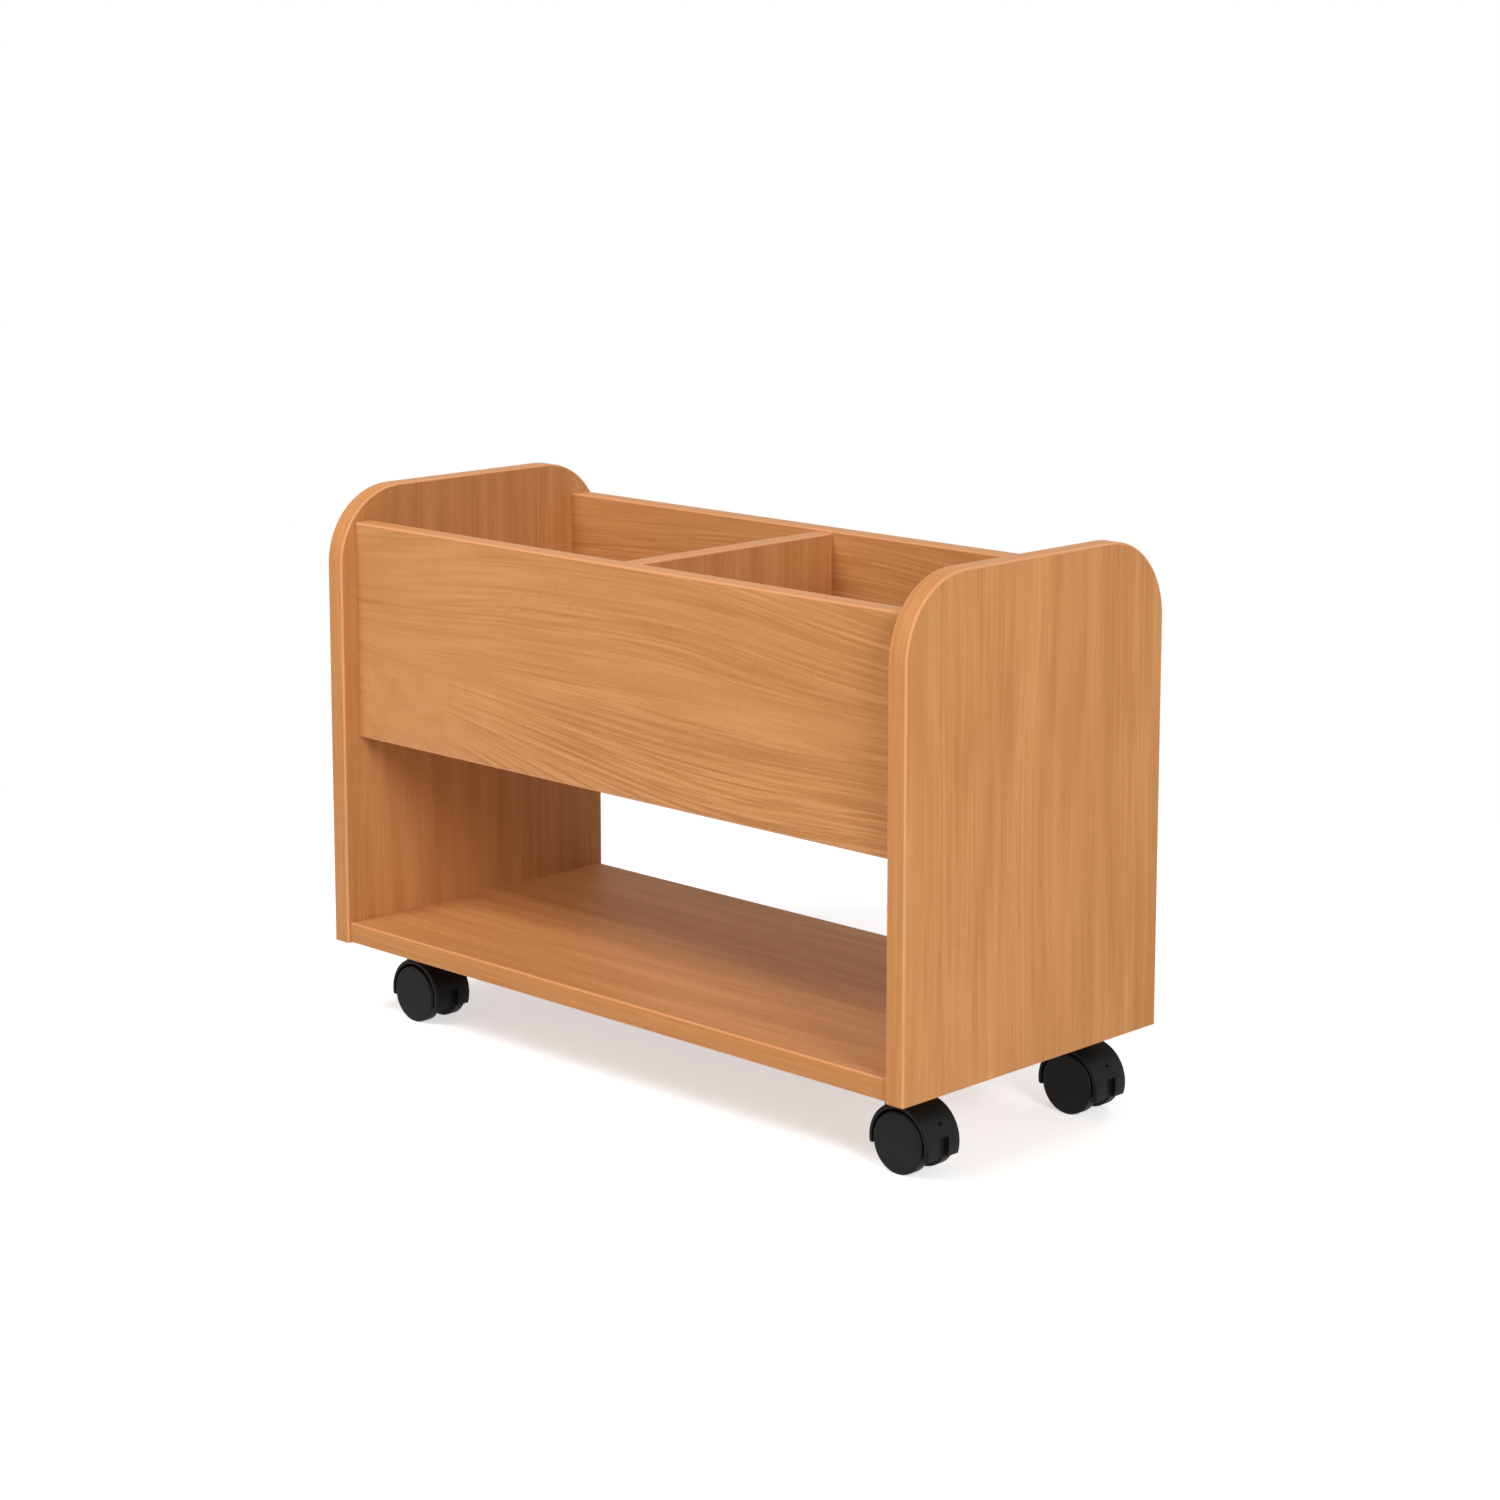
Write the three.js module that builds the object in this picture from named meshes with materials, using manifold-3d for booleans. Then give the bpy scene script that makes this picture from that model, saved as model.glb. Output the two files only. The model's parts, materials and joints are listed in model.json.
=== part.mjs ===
// A mobile book browser bin in beech-faced board: two open compartments above a shelf, on four swivel castors.
// Millimetres, +Z up. X runs along the length, -Y is the front, and the origin is on the floor under the middle.

import * as THREE from 'three';
import { mergeVertices } from 'three/addons/utils/BufferGeometryUtils.js';
import Module from 'manifold-3d';

const wasm = await Module();
wasm.setup();

// Carcass
const LENGTH = 670; // outside, over the two end panels
const DEPTH = 304; // end panels, front to back
const END_HEIGHT = 400; // end panels, bottom to top
const BOARD = 18; // thickness of every board
const CORNER_RADIUS = 66; // top corners of the end panels
const WALL_INSET = 17; // bin walls, in from the end panels' front and back edges
const WALL_HEIGHT = 189; // bin walls, over their edging
const WALL_DROP = 29; // top of the bin walls below the top of the end panels
const BASE_RAISE = 8; // bin base above the lower edge of the bin walls
const DIVIDER_DROP = 2; // top of the divider below the top of the bin walls
const SHELF_SETBACK = 3; // shelf, in from the end panels' front and back edges
const BUTT_GAP = 0.05; // hairline left where one board butts against another

// Edging strips
const EDGING = 2; // thickness of a strip
const ARRIS_RADIUS = 1.6; // rounding along the two outer corners of a strip
const ARRIS_STEPS = 3;
const GLUE_LINE = 0.1; // gap between a strip and its board
const CORNER_STEPS = 20; // facets round one top corner of an end panel

// Dowels
const DOWEL_DIAMETER = 8;
const DOWEL_LENGTH = 30;
const DOWEL_IN_FACE = 11; // reach into the board that is drilled in its face
const DOWEL_CHAMFER = 1;
const DOWEL_PLAY = 0.3; // round the dowel, and beyond each of its ends
const DOWEL_SIDES = 10;
const WALL_DOWEL_MARGIN = 42; // from the upper and lower edges of a bin wall
const BASE_DOWEL_MARGIN = 50; // from the front and back edges of the bin base
const SHELF_DOWEL_MARGIN = 70; // from the front and back edges of the shelf
const DIVIDER_DOWEL_MARGIN = 36; // from the upper and lower edges of the divider

// Castors
const CASTOR_INSET = 51; // stem, in from the end panels' outer face and from their front or back edge
const CASTOR_TRAIL = 17.5; // axle behind the stem
const WHEEL_RADIUS = 25;
const WHEEL_WIDTH = 11.5;
const WHEEL_EDGE = 1.6; // rounding of both edges of the tread
const WHEEL_SKIN = 2.5; // left between the blind bore and the outer disc
const WHEEL_SIDES = 24; // an even number, so that a flat of the tread stands on the floor
const EDGE_STEPS = 2;
const WEB_WIDTH = 15; // middle of the hood, between the wheels
const WEB_FOOT = 9; // half the length of the web's lower edge
const WEB_DROP = 10; // lower edge of the web below the axle
const WHEEL_GAP = 1; // between the web and a wheel
const WHEEL_PROUD = 1; // outer disc of a wheel beyond the side of the hood
const HOOD_GAP = 1.8; // between the tread and the inside of the hood
const HOOD_WALL = 3.7;
const HOOD_EDGE = 1.4; // rounding along the hood's rims
const HOOD_FRONT_DROP = 4.5; // leading end of the hood below the axle
const HOOD_REAR_DROP = 9.5; // trailing end of the hood below the axle
const HOOD_STEPS = 20; // facets round the hood
const HOOD_BORE_SIDES = 24; // facets of the round space for a wheel
const AXLE_DIAMETER = 6;
const AXLE_PLAY = 0.3; // round the axle, and beyond its ends
const SOCKET_DIAMETER = 18; // outside of the stem socket on the hood
const SOCKET_RISE = 6.7; // socket above the top of the hood
const SOCKET_DEPTH = 23; // bore for the pin of the stem
const PIN_DIAMETER = 9;
const PIN_PLAY = 0.3; // round the pin, and below it
const SWIVEL_GAP = 0.5; // between the socket and the collar of the stem
const COLLAR_DIAMETER = 16;
const COLLAR_THICKNESS = 3;
const THREAD_DIAMETER = 8;
const THREAD_LENGTH = 11;
const THREAD_PLAY = 0.3; // between the stem and the bore of the insert
const INSERT_DIAMETER = 12;
const INSERT_LENGTH = 12; // inside the shelf
const INSERT_PLAY = 0.3; // round the insert, and above it
const FLANGE_DIAMETER = 18;
const FLANGE_THICKNESS = 1.5;
const STEM_SIDES = 12;
const RECESS_WIDTH = 11; // recess in the web, open to the trailing side of the hood
const RECESS_DEPTH = 4.5;
const RECESS_TOP = 7; // above the axle
const SLOT_WIDTH = 4; // small moulding slot above that recess
const SLOT_HEIGHT = 3;
const SLOT_DEPTH = 1.2;
const SLOT_CENTRE = 17; // above the axle
const CUT_MARGIN = 5; // every cutter starts this far outside what it cuts
const WELD = 1e-4; // corners of a solid this close together are one corner

// What follows from the sizes above
const AXLE_HEIGHT = WHEEL_RADIUS * Math.cos(Math.PI / WHEEL_SIDES);
const HOOD_BORE = WHEEL_RADIUS + HOOD_GAP;
const HOOD_RADIUS = HOOD_BORE + HOOD_WALL;
const WHEEL_INSIDE = WEB_WIDTH / 2 + WHEEL_GAP;
const WHEEL_OUTSIDE = WHEEL_INSIDE + WHEEL_WIDTH;
const HOOD_WIDTH = 2 * (WHEEL_OUTSIDE - WHEEL_PROUD);
const SOCKET_TOP = AXLE_HEIGHT + HOOD_RADIUS + SOCKET_RISE;
const COLLAR_BOTTOM = SOCKET_TOP + SWIVEL_GAP;
const FLANGE_BOTTOM = COLLAR_BOTTOM + COLLAR_THICKNESS;
const CASTOR_HEIGHT = FLANGE_BOTTOM + FLANGE_THICKNESS;
const INSIDE_LENGTH = LENGTH - 2 * BOARD;
const BOARD_LENGTH = INSIDE_LENGTH - 2 * BUTT_GAP;
const WALL_TOP = END_HEIGHT - WALL_DROP;
const WALL_BOTTOM = WALL_TOP - WALL_HEIGHT;
const WALL_MIDDLE = DEPTH / 2 - WALL_INSET - BOARD / 2;
const WALL_INSIDE = WALL_MIDDLE - BOARD / 2;
const BASE_BOTTOM = WALL_BOTTOM + BASE_RAISE;
const BASE_TOP = BASE_BOTTOM + BOARD;
const BIN_DEPTH = 2 * (WALL_INSIDE - BUTT_GAP);
const SHELF_DEPTH = DEPTH - 2 * SHELF_SETBACK;

const along = {
  x: new THREE.Vector3(1, 0, 0),
  y: new THREE.Vector3(0, 1, 0),
  z: new THREE.Vector3(0, 0, 1),
};

// Finishes
const beechFace = () => new THREE.MeshStandardMaterial({ color: 0xc8935c, roughness: 0.45, metalness: 0 });
const beechEdge = () => new THREE.MeshStandardMaterial({ color: 0xd29a64, roughness: 0.4, metalness: 0 });
const dowelBeech = () => new THREE.MeshStandardMaterial({ color: 0xd8b98c, roughness: 0.7, metalness: 0 });
const blackNylon = () => new THREE.MeshStandardMaterial({ color: 0x262626, roughness: 0.5, metalness: 0 });
const zincSteel = () => new THREE.MeshStandardMaterial({ color: 0xb9bcc0, roughness: 0.35, metalness: 1 });

// Solids that are joined and cut
function toSolid(geometry) {
  const bare = geometry.clone();
  bare.deleteAttribute('normal');
  bare.deleteAttribute('uv');
  const merged = mergeVertices(bare, WELD);
  const mesh = new wasm.Mesh({
    numProp: 3,
    vertProperties: new Float32Array(merged.attributes.position.array),
    triVerts: new Uint32Array(merged.index.array),
  });
  return new wasm.Manifold(mesh);
}

function toGeometry(solid) {
  const mesh = solid.getMesh();
  const geometry = new THREE.BufferGeometry();
  geometry.setAttribute('position', new THREE.BufferAttribute(mesh.vertProperties, 3));
  geometry.setIndex(new THREE.BufferAttribute(mesh.triVerts, 1));
  geometry.computeVertexNormals();
  return geometry;
}

function cutAway(geometry, cutters) {
  const solid = cutters.reduce((rest, cutter) => rest.subtract(toSolid(cutter)), toSolid(geometry));
  return toGeometry(solid);
}

// A block given by its size and its centre.
function block(size, centre) {
  return new THREE.BoxGeometry(...size).translate(...centre);
}

// A round bar from one point along a direction.
function bar(start, direction, radius, length, sides) {
  const geometry = new THREE.CylinderGeometry(radius, radius, length, sides);
  geometry.translate(0, length / 2, 0);
  geometry.applyQuaternion(new THREE.Quaternion().setFromUnitVectors(along.y, direction));
  return geometry.translate(start.x, start.y, start.z);
}

// A drill that starts outside the face at a spot and goes to a depth inside it.
function drill(spot, direction, radius, depth, sides) {
  const start = spot.clone().addScaledVector(direction, -CUT_MARGIN);
  return bar(start, direction, radius, depth + CUT_MARGIN, sides);
}

// A drawn outline in Y and Z, pushed along X from a starting place.
function pushAlongX(outline, start, options) {
  const geometry = new THREE.ExtrudeGeometry(outline, options);
  const turn = new THREE.Matrix4().makeBasis(along.y, along.z, along.x);
  return geometry.applyMatrix4(turn).translate(start, 0, 0);
}

// A drawn outline in X and Z, pushed along Y and centred on Y = 0.
function pushAlongY(outline, width, options) {
  const bevel = options.bevelThickness ?? 0;
  const geometry = new THREE.ExtrudeGeometry(outline, { ...options, depth: width - 2 * bevel });
  return geometry.rotateX(Math.PI / 2).translate(0, width / 2 - bevel, 0);
}

const carcass = new THREE.Group();
carcass.position.z = CASTOR_HEIGHT;

function place(group, name, geometry, material) {
  const mesh = new THREE.Mesh(geometry, material);
  mesh.name = name;
  group.add(mesh);
  return mesh;
}

// Boards wait in a list until every joint has drilled its holes.
const boards = new Map();

function addBoard(name, geometry) {
  boards.set(name, { geometry, cutters: [] });
}

// End panels: straight sides, a straight bottom edge and two round top corners.
function endOutline(margin, bottom) {
  const side = DEPTH / 2 - margin;
  const top = END_HEIGHT - margin;
  const radius = CORNER_RADIUS - margin;
  const outline = new THREE.Shape();
  outline.moveTo(side, bottom);
  outline.lineTo(side, top - radius);
  outline.absarc(side - radius, top - radius, radius, 0, Math.PI / 2, false);
  outline.lineTo(radius - side, top);
  outline.absarc(radius - side, top - radius, radius, Math.PI / 2, Math.PI, false);
  outline.lineTo(-side, bottom);
  return outline;
}

function endEdging(start) {
  const roundBoard = pushAlongX(endOutline(0, -CUT_MARGIN), start + ARRIS_RADIUS, {
    depth: BOARD - 2 * ARRIS_RADIUS,
    curveSegments: CORNER_STEPS,
    bevelSize: ARRIS_RADIUS,
    bevelThickness: ARRIS_RADIUS,
    bevelOffset: -ARRIS_RADIUS,
    bevelSegments: ARRIS_STEPS,
  });
  const middle = pushAlongX(endOutline(EDGING - GLUE_LINE, -2 * CUT_MARGIN), start - CUT_MARGIN, {
    depth: BOARD + 2 * CUT_MARGIN,
    curveSegments: CORNER_STEPS,
    bevelEnabled: false,
  });
  const below = block([4 * BOARD, 2 * DEPTH, 4 * CUT_MARGIN], [start, 0, -2 * CUT_MARGIN]);
  return cutAway(roundBoard, [middle, below]);
}

for (const [side, start] of [['left', -LENGTH / 2], ['right', LENGTH / 2 - BOARD]]) {
  const core = pushAlongX(endOutline(EDGING, 0), start, {
    depth: BOARD,
    curveSegments: CORNER_STEPS,
    bevelEnabled: false,
  });
  addBoard(`${side}_end_panel`, core);
  place(carcass, `${side}_end_edging`, endEdging(start), beechEdge());
}

// A strip along X for the edge of a board: a flat back, and two rounded corners on its outer side.
// The strip is drawn with its outer side up, then turned by an angle about X.
function edgingStrip(length, turn) {
  const half = BOARD / 2;
  const height = EDGING - GLUE_LINE;
  const outline = new THREE.Shape();
  outline.moveTo(-half, 0);
  outline.lineTo(half, 0);
  outline.absarc(half - ARRIS_RADIUS, height - ARRIS_RADIUS, ARRIS_RADIUS, 0, Math.PI / 2, false);
  outline.absarc(ARRIS_RADIUS - half, height - ARRIS_RADIUS, ARRIS_RADIUS, Math.PI / 2, Math.PI, false);
  outline.closePath();
  const strip = pushAlongX(outline, -length / 2, {
    depth: length,
    curveSegments: ARRIS_STEPS,
    bevelEnabled: false,
  });
  return strip.rotateX(turn);
}

// Front and back walls of the bin
for (const [side, sign] of [['front', -1], ['back', 1]]) {
  const coreHeight = WALL_HEIGHT - 2 * EDGING;
  const middle = [0, sign * WALL_MIDDLE, WALL_BOTTOM + WALL_HEIGHT / 2];
  addBoard(`${side}_wall`, block([BOARD_LENGTH, BOARD, coreHeight], middle));
  const top = edgingStrip(BOARD_LENGTH, 0);
  top.translate(0, sign * WALL_MIDDLE, WALL_TOP - EDGING + GLUE_LINE);
  place(carcass, `${side}_wall_top_edging`, top, beechEdge());
  const bottom = edgingStrip(BOARD_LENGTH, Math.PI);
  bottom.translate(0, sign * WALL_MIDDLE, WALL_BOTTOM + EDGING - GLUE_LINE);
  place(carcass, `${side}_wall_bottom_edging`, bottom, beechEdge());
}

// Base of the bin, between the two walls
addBoard('bin_base', block([BOARD_LENGTH, BIN_DEPTH, BOARD], [0, 0, BASE_BOTTOM + BOARD / 2]));

// Divider, standing on the base with its edged top a little below the walls
const dividerBottom = BASE_TOP + BUTT_GAP;
const dividerTop = WALL_TOP - DIVIDER_DROP - EDGING;
const dividerHeight = dividerTop - dividerBottom;
addBoard('centre_divider', block([BOARD, BIN_DEPTH, dividerHeight], [0, 0, dividerBottom + dividerHeight / 2]));
const dividerEdging = edgingStrip(BIN_DEPTH, 0).rotateZ(Math.PI / 2);
dividerEdging.translate(0, 0, dividerTop + GLUE_LINE);
place(carcass, 'divider_top_edging', dividerEdging, beechEdge());

// Shelf, its underside level with the end panels' bottom edges
addBoard('bottom_shelf', block([BOARD_LENGTH, SHELF_DEPTH - 2 * EDGING, BOARD], [0, 0, BOARD / 2]));
for (const [side, sign] of [['front', -1], ['back', 1]]) {
  const strip = edgingStrip(BOARD_LENGTH, -sign * Math.PI / 2);
  strip.translate(0, sign * (SHELF_DEPTH / 2 - EDGING + GLUE_LINE), BOARD / 2);
  place(carcass, `shelf_${side}_edging`, strip, beechEdge());
}

// A dowel lies in two blind holes: one in the face of a board, one in the edge of the board that butts against it.
function dowelGeometry() {
  const radius = DOWEL_DIAMETER / 2;
  const profile = [
    [0, 0],
    [radius - DOWEL_CHAMFER, 0],
    [radius, DOWEL_CHAMFER],
    [radius, DOWEL_LENGTH - DOWEL_CHAMFER],
    [radius - DOWEL_CHAMFER, DOWEL_LENGTH],
    [0, DOWEL_LENGTH],
  ];
  return new THREE.LatheGeometry(profile.map(([x, y]) => new THREE.Vector2(x, y)), DOWEL_SIDES);
}

function joinWithDowels(name, faceBoard, edgeBoard, intoFace, spots) {
  const radius = DOWEL_DIAMETER / 2 + DOWEL_PLAY;
  const inEdge = DOWEL_LENGTH - DOWEL_IN_FACE;
  const intoEdge = intoFace.clone().negate();
  spots.forEach((spot, index) => {
    const faceHole = drill(spot, intoFace, radius, DOWEL_IN_FACE + DOWEL_PLAY, DOWEL_SIDES);
    const edgeHole = drill(spot, intoEdge, radius, inEdge + DOWEL_PLAY, DOWEL_SIDES);
    boards.get(faceBoard).cutters.push(faceHole);
    boards.get(edgeBoard).cutters.push(edgeHole);
    const dowel = place(carcass, `${name}_dowel_${index + 1}`, dowelGeometry(), dowelBeech());
    dowel.quaternion.setFromUnitVectors(along.y, intoFace);
    dowel.position.copy(spot).addScaledVector(intoEdge, inEdge);
  });
}

const wallDowelHeights = [WALL_BOTTOM + WALL_DOWEL_MARGIN, WALL_TOP - WALL_DOWEL_MARGIN];
const baseDowelReach = WALL_INSIDE - BASE_DOWEL_MARGIN;
const shelfDowelReach = SHELF_DEPTH / 2 - SHELF_DOWEL_MARGIN;
for (const [side, sign] of [['left', -1], ['right', 1]]) {
  const face = sign * INSIDE_LENGTH / 2;
  const into = along.x.clone().multiplyScalar(sign);
  const panel = `${side}_end_panel`;
  for (const [wall, wallSign] of [['front', -1], ['back', 1]]) {
    const spots = wallDowelHeights.map((z) => new THREE.Vector3(face, wallSign * WALL_MIDDLE, z));
    joinWithDowels(`${wall}_wall_${side}`, panel, `${wall}_wall`, into, spots);
  }
  const baseSpots = [-1, 1].map((s) => new THREE.Vector3(face, s * baseDowelReach, BASE_BOTTOM + BOARD / 2));
  joinWithDowels(`bin_base_${side}`, panel, 'bin_base', into, baseSpots);
  const shelfSpots = [-1, 1].map((s) => new THREE.Vector3(face, s * shelfDowelReach, BOARD / 2));
  joinWithDowels(`shelf_${side}`, panel, 'bottom_shelf', into, shelfSpots);
}
const dividerDowelHeights = [dividerBottom + DIVIDER_DOWEL_MARGIN, dividerTop - DIVIDER_DOWEL_MARGIN];
for (const [wall, sign] of [['front', -1], ['back', 1]]) {
  const spots = dividerDowelHeights.map((z) => new THREE.Vector3(0, sign * WALL_INSIDE, z));
  const into = along.y.clone().multiplyScalar(sign);
  joinWithDowels(`divider_${wall}`, `${wall}_wall`, 'centre_divider', into, spots);
}

// A turned piece: pairs of radius and height, from the axis or back to the first pair.
// Half a facet of turn sets a flat, not a corner, straight below the axis.
function turned(profile, sides) {
  const points = profile.map(([radius, height]) => new THREE.Vector2(radius, height));
  return new THREE.LatheGeometry(points, sides, Math.PI / sides);
}

// A rounded corner of a turned profile, from one angle to another about a centre.
function roundCorner(radius, height, edge, from, to) {
  return Array.from({ length: EDGE_STEPS + 1 }, (_, step) => {
    const angle = from + (to - from) * step / EDGE_STEPS;
    return [radius + edge * Math.cos(angle), height + edge * Math.sin(angle)];
  });
}

// Threaded insert: a flanged sleeve in the underside of the shelf.
function insertGeometry() {
  const bore = THREAD_DIAMETER / 2 + THREAD_PLAY;
  const top = FLANGE_THICKNESS + INSERT_LENGTH;
  const profile = [
    [bore, 0],
    [FLANGE_DIAMETER / 2, 0],
    [FLANGE_DIAMETER / 2, FLANGE_THICKNESS - GLUE_LINE],
    [INSERT_DIAMETER / 2, FLANGE_THICKNESS - GLUE_LINE],
    [INSERT_DIAMETER / 2, top],
    [bore, top],
    [bore, 0],
  ];
  return turned(profile, STEM_SIDES).rotateX(Math.PI / 2).translate(0, 0, FLANGE_BOTTOM);
}

// Stem: the pin in the hood's socket, a collar under the insert, and the thread inside it.
function stemGeometry() {
  const pinBottom = SOCKET_TOP - SOCKET_DEPTH + PIN_PLAY;
  const collarTop = FLANGE_BOTTOM - GLUE_LINE;
  const threadTop = FLANGE_BOTTOM + THREAD_LENGTH;
  const profile = [
    [0, pinBottom],
    [PIN_DIAMETER / 2, pinBottom],
    [PIN_DIAMETER / 2, COLLAR_BOTTOM],
    [COLLAR_DIAMETER / 2, COLLAR_BOTTOM],
    [COLLAR_DIAMETER / 2, collarTop],
    [THREAD_DIAMETER / 2, collarTop],
    [THREAD_DIAMETER / 2, threadTop],
    [0, threadTop],
  ];
  return turned(profile, STEM_SIDES).rotateX(Math.PI / 2);
}

// Hood: a shell over both wheels, a web between them that holds the axle, and the socket for the stem.
// It is drawn about the axle.
function hoodGeometry() {
  const rearEnd = -Math.asin(HOOD_REAR_DROP / HOOD_RADIUS);
  const frontEnd = Math.PI + Math.asin(HOOD_FRONT_DROP / HOOD_RADIUS);
  const outline = new THREE.Shape();
  outline.absarc(0, 0, HOOD_RADIUS, rearEnd, frontEnd, false);
  outline.lineTo(-WEB_FOOT, -WEB_DROP);
  outline.lineTo(WEB_FOOT, -WEB_DROP);
  outline.closePath();
  const body = pushAlongY(outline, HOOD_WIDTH, {
    curveSegments: HOOD_STEPS,
    bevelSize: HOOD_EDGE,
    bevelThickness: HOOD_EDGE,
    bevelOffset: -HOOD_EDGE,
    bevelSegments: EDGE_STEPS,
  });
  const socketTop = SOCKET_TOP - AXLE_HEIGHT;
  const stemFoot = new THREE.Vector3(-CASTOR_TRAIL, 0, 0);
  const socket = bar(stemFoot, along.z, SOCKET_DIAMETER / 2, socketTop, STEM_SIDES);
  const wheelSpaces = [-1, 1].map((side) => {
    const start = new THREE.Vector3(0, side * WEB_WIDTH / 2, 0);
    const out = along.y.clone().multiplyScalar(side);
    return bar(start, out, HOOD_BORE, HOOD_WIDTH, HOOD_BORE_SIDES);
  });
  const stemMouth = new THREE.Vector3(-CASTOR_TRAIL, 0, socketTop);
  const down = along.z.clone().negate();
  const stemBore = drill(stemMouth, down, PIN_DIAMETER / 2 + PIN_PLAY, SOCKET_DEPTH, STEM_SIDES);
  const axleMouth = new THREE.Vector3(0, -WEB_WIDTH / 2, 0);
  const axleBore = drill(axleMouth, along.y, AXLE_DIAMETER / 2 + AXLE_PLAY, WEB_WIDTH + CUT_MARGIN, STEM_SIDES);
  const recessHeight = RECESS_TOP + HOOD_REAR_DROP + CUT_MARGIN;
  const recess = block(
    [2 * CUT_MARGIN, RECESS_WIDTH, recessHeight],
    [HOOD_RADIUS - RECESS_DEPTH + CUT_MARGIN, 0, RECESS_TOP - recessHeight / 2],
  );
  const slotFloor = Math.sqrt(HOOD_RADIUS ** 2 - SLOT_CENTRE ** 2) - SLOT_DEPTH;
  const slot = block([2 * CUT_MARGIN, SLOT_WIDTH, SLOT_HEIGHT], [slotFloor + CUT_MARGIN, 0, SLOT_CENTRE]);
  const joined = toGeometry(toSolid(body).add(toSolid(socket)));
  const hood = cutAway(joined, [...wheelSpaces, stemBore, axleBore, recess, slot]);
  return hood.translate(CASTOR_TRAIL, 0, AXLE_HEIGHT);
}

// Axle: a plain pin through the web into the blind bores of both wheels.
function axleGeometry() {
  const reach = WHEEL_OUTSIDE - WHEEL_SKIN - AXLE_PLAY;
  const start = new THREE.Vector3(CASTOR_TRAIL, -reach, AXLE_HEIGHT);
  return bar(start, along.y, AXLE_DIAMETER / 2, 2 * reach, STEM_SIDES);
}

// Wheel: a solid disc with rounded tread edges and a blind bore on its inner side.
function wheelGeometry() {
  const bore = AXLE_DIAMETER / 2 + AXLE_PLAY;
  const boreDepth = WHEEL_WIDTH - WHEEL_SKIN;
  const edgeCentre = WHEEL_RADIUS - WHEEL_EDGE;
  const profile = [
    [0, boreDepth],
    [bore, boreDepth],
    [bore, 0],
    ...roundCorner(edgeCentre, WHEEL_EDGE, WHEEL_EDGE, -Math.PI / 2, 0),
    ...roundCorner(edgeCentre, WHEEL_WIDTH - WHEEL_EDGE, WHEEL_EDGE, 0, Math.PI / 2),
    [0, WHEEL_WIDTH],
  ];
  return turned(profile, WHEEL_SIDES);
}

const castors = new THREE.Group();
const shelfCutters = boards.get('bottom_shelf').cutters;
for (const [depthName, depthSign] of [['front', -1], ['back', 1]]) {
  for (const [sideName, sideSign] of [['left', -1], ['right', 1]]) {
    const name = `${depthName}_${sideName}_castor`;
    const stemX = sideSign * (LENGTH / 2 - CASTOR_INSET);
    const stemY = depthSign * (DEPTH / 2 - CASTOR_INSET);
    const insertHole = drill(
      new THREE.Vector3(stemX, stemY, 0),
      along.z,
      INSERT_DIAMETER / 2 + INSERT_PLAY,
      INSERT_LENGTH + INSERT_PLAY,
      STEM_SIDES,
    );
    shelfCutters.push(insertHole);
    const castor = new THREE.Group();
    castor.position.set(stemX, stemY, 0);
    place(castor, `${name}_insert`, insertGeometry(), zincSteel());
    place(castor, `${name}_stem`, stemGeometry(), zincSteel());
    place(castor, `${name}_hood`, hoodGeometry(), blackNylon());
    place(castor, `${name}_axle`, axleGeometry(), zincSteel());
    for (const [wheelName, wheelSign] of [['front', -1], ['back', 1]]) {
      const wheel = place(castor, `${name}_${wheelName}_wheel`, wheelGeometry(), blackNylon());
      wheel.rotation.z = wheelSign < 0 ? Math.PI : 0;
      wheel.position.set(CASTOR_TRAIL, wheelSign * WHEEL_INSIDE, AXLE_HEIGHT);
    }
    castors.add(castor);
  }
}

for (const [name, { geometry, cutters }] of boards) {
  place(carcass, name, cutAway(geometry, cutters), beechFace());
}

const bookBrowser = new THREE.Group();
bookBrowser.add(carcass, castors);

export default bookBrowser;
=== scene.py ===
# %% [markdown]
# # A mobile book browser bin
# The real object is a low bin for picture books. Seven beech-faced boards with plastic edging are joined by hidden
# dowels, and the whole stands on four twin-wheel castors. The solids already put every piece in its place. This
# lesson gives the boards their printed beech, and swaps the faceted small pieces for smooth, detailed ones.

# %% Load the solids
import json
from math import cos, pi, radians, sin, tan

import bpy
from mathutils import Matrix, Vector

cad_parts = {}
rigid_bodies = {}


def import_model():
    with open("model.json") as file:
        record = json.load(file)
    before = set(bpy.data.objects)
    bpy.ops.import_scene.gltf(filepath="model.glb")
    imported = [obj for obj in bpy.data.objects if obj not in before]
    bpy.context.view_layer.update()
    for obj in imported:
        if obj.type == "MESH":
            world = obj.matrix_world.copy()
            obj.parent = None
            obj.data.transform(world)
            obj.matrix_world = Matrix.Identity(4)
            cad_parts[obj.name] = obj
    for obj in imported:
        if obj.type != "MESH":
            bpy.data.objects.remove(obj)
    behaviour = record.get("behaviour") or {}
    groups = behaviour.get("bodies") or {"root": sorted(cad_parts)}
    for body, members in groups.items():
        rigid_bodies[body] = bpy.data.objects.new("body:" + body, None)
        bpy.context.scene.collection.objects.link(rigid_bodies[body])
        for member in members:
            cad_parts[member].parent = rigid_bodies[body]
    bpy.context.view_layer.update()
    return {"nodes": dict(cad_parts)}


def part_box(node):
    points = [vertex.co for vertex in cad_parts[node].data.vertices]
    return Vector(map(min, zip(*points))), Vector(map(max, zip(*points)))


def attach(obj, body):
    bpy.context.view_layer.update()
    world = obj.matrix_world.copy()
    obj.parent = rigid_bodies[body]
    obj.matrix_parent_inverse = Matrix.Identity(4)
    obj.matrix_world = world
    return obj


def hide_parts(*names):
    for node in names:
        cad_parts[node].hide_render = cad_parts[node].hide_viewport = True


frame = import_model()
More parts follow.
